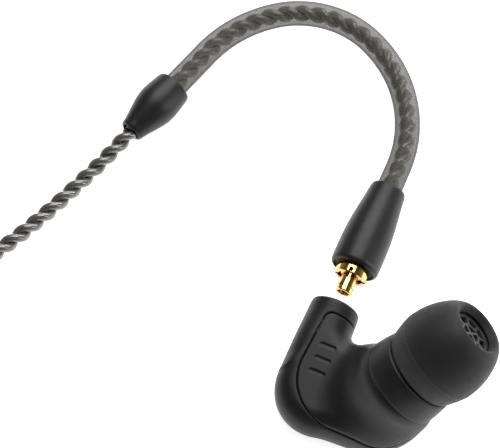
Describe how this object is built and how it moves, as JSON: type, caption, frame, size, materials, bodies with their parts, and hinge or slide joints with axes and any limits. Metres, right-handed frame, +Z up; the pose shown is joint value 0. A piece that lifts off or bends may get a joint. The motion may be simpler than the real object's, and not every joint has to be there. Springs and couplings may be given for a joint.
{
  "type": "in-ear monitor with detachable cable",
  "caption": "Angled in-ear monitor with a soft ear tip on a nozzle, a pull-out coaxial cable connector, a clear formed ear hook tube and a twisted cord ending in a small stereo plug.",
  "frame": {"origin": "middle of the faceplate's outer face, which lies on the table", "axes": "+Z up, away from the table; +Y along the cable connector, from the socket in the neck towards the plug; +X towards the nozzle's side"},
  "size_m": [0.1003, 0.0763, 0.0168],
  "materials": {
    "shell_black": "fine satin black plastic",
    "shell_edge": "satin black plastic",
    "silicone": "soft matt silicone",
    "seal_rubber": "matt rubber",
    "mesh_black": "black finished grille",
    "gold": "gold plated",
    "clear_tube": "clear smoke grey tube",
    "strand_grey": "smoke grey jacket over twisted copper",
    "boot_grey": "moulded dark plastic",
    "insulator_white": "moulded insulator",
    "steel": "plated steel",
    "magnet": "nickel plated magnet",
    "film": "clear polymer film",
    "copper": "enamelled copper wire",
    "board": "circuit board",
    "tie_black": "woven hook and loop strap"
  },
  "bodies": {
    "lead": {"connector_barrel": "gold", "connector_crown": "gold", "connector_insulator": "insulator_white", "connector_pin": "gold", "crimp_ferrule": "steel", "plug_boot": "boot_grey", "plug_front_ring": "seal_rubber", "ear_hook_tube": "clear_tube", "hook_cable": "strand_grey", "hook_collar": "boot_grey", "cord_run": "strand_grey", "cord_coil": "strand_grey", "cord_tail": "strand_grey", "cable_tie": "tie_black", "jack_housing": "boot_grey", "jack_relief": "boot_grey", "jack_sleeve": "gold", "jack_sleeve_insulator": "seal_rubber", "jack_ring": "gold", "jack_tip_insulator": "seal_rubber", "jack_tip": "gold"},
    "snap_ring": {"snap_ring": "gold"},
    "earpiece": {"back_shell": "shell_black", "front_shell": "shell_black", "faceplate": "shell_edge", "nozzle_housing": "shell_black", "nozzle_seal": "seal_rubber", "nozzle_grille": "mesh_black", "driver_cover": "steel", "driver_frame": "steel", "driver_yoke": "steel", "driver_magnet": "magnet", "driver_top_plate": "steel", "driver_vent_cloth": "tie_black", "driver_board": "board", "socket_trim": "shell_edge", "socket_shell": "gold", "socket_bush": "insulator_white", "socket_insulator": "insulator_white", "socket_contact": "gold", "socket_board": "board", "signal_wire": "copper", "ground_wire": "copper"},
    "voice_coil": {"diaphragm": "film", "voice_coil": "copper"},
    "ear_tip": {"ear_tip": "silicone"}
  },
  "joints": [
    {"name": "connector_swivel", "type": "hinge", "parent": "lead", "child": "snap_ring", "pos_m": [-0.005, 0.012, 0.00305], "axis": [0, -1, 0], "continuous": true},
    {"name": "connector_slide", "type": "slide", "parent": "snap_ring", "child": "earpiece", "axis": [0, 1, 0], "range_m": [0, 0.0054]},
    {"name": "ear_tip_pull", "type": "slide", "parent": "earpiece", "child": "ear_tip", "axis": [0.5195, 0.563, 0.6428], "range_m": [0, 0.009]},
    {"name": "voice_coil_throw", "type": "slide", "parent": "earpiece", "child": "voice_coil", "axis": [0.5195, 0.563, 0.6428], "range_m": [-0.00015, 0.00015], "stiffness_N_per_m": 100}
  ]
}
